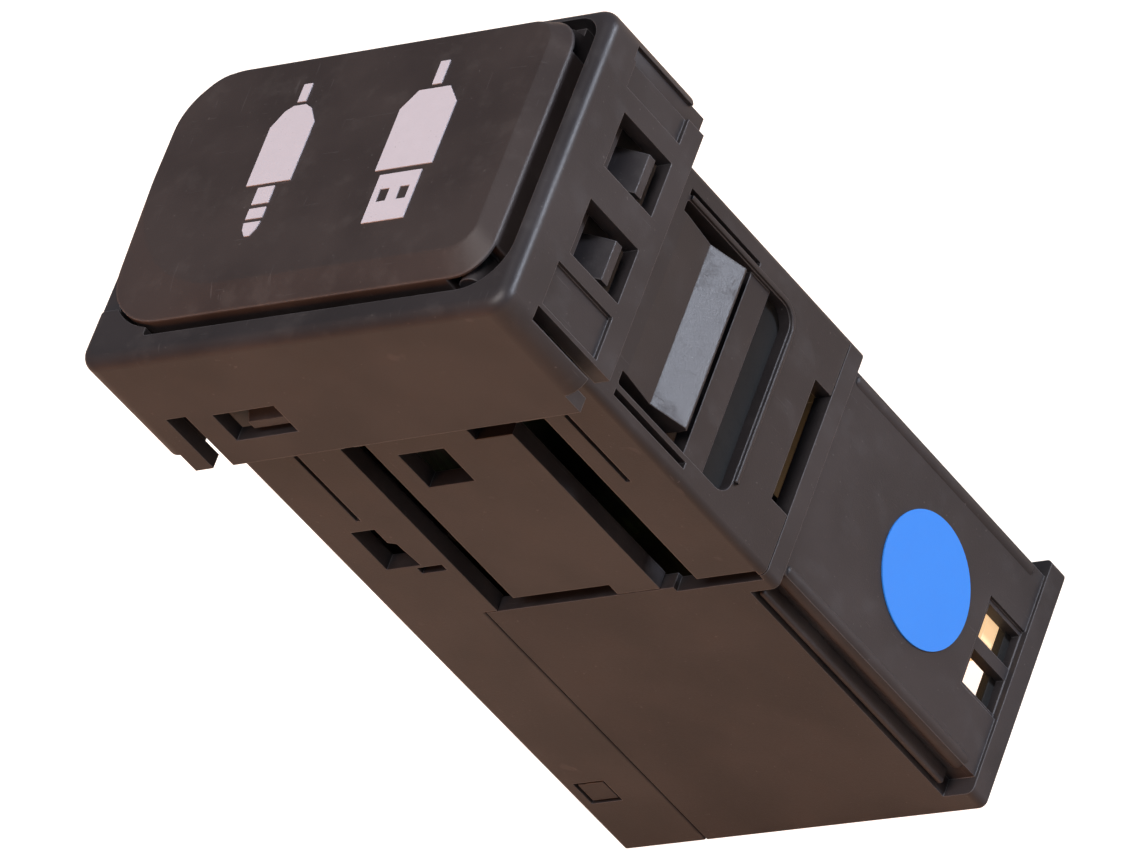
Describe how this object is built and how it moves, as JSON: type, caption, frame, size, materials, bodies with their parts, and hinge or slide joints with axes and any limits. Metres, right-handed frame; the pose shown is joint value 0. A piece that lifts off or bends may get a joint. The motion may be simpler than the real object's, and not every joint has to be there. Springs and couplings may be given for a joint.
{
  "type": "usb port module",
  "caption": "Panel module with a hinged lid over a flat data socket and an audio jack, a casing with snap latches, and a rear cover.",
  "frame": {"origin": "middle of the rear end, on which the module stands", "axes": "+Z out of the panel through the lid, +X to the right of the lid's signs towards its hinge, +Y up along them"},
  "size_m": [0.041, 0.028, 0.069],
  "materials": {
    "bezel_plastic": "fine grained black moulding",
    "lid_plastic": "fine grained black moulding",
    "print_ink": "pale pad print",
    "rubber_pad": "soft black rubber",
    "casing_plastic": "satin black moulding",
    "cover_plastic": "satin black moulding",
    "sticker": "bright blue label",
    "plate_plastic": "matt black moulding",
    "shell_metal": "bright tin plate",
    "insulator": "white nylon",
    "contact_metal": "gold flashed contact",
    "jack_plastic": "black moulding",
    "board_laminate": "green lacquered laminate",
    "pale_nylon": "natural nylon",
    "chip_plastic": "black mould compound",
    "can_metal": "drawn can",
    "ferrite": "grey ferrite",
    "ceramic": "tan ceramic"
  },
  "bodies": {
    "module": {"bezel": "bezel_plastic", "casing": "casing_plastic", "rear_cover": "cover_plastic", "dot_sticker": "sticker", "socket_plate": "plate_plastic", "usb_shell": "shell_metal", "usb_tongue": "insulator", "usb_contacts": "contact_metal", "jack_housing": "jack_plastic", "jack_bush": "shell_metal", "jack_springs": "contact_metal", "main_board": "board_laminate", "header_housing": "pale_nylon", "header_pins": "contact_metal", "control_chip": "chip_plastic", "can_capacitors": "can_metal", "choke": "ferrite", "chip_parts": "ceramic"},
    "door": {"lid": "lid_plastic", "jack_pictogram": "print_ink", "plug_pictogram": "print_ink", "lid_bumpers": "rubber_pad"}
  },
  "joints": [
    {"name": "lid_hinge", "type": "hinge", "parent": "module", "child": "door", "pos_m": [0.0159, 0, 0.0659], "axis": [0, 1, 0], "range_deg": [0, 90]}
  ]
}
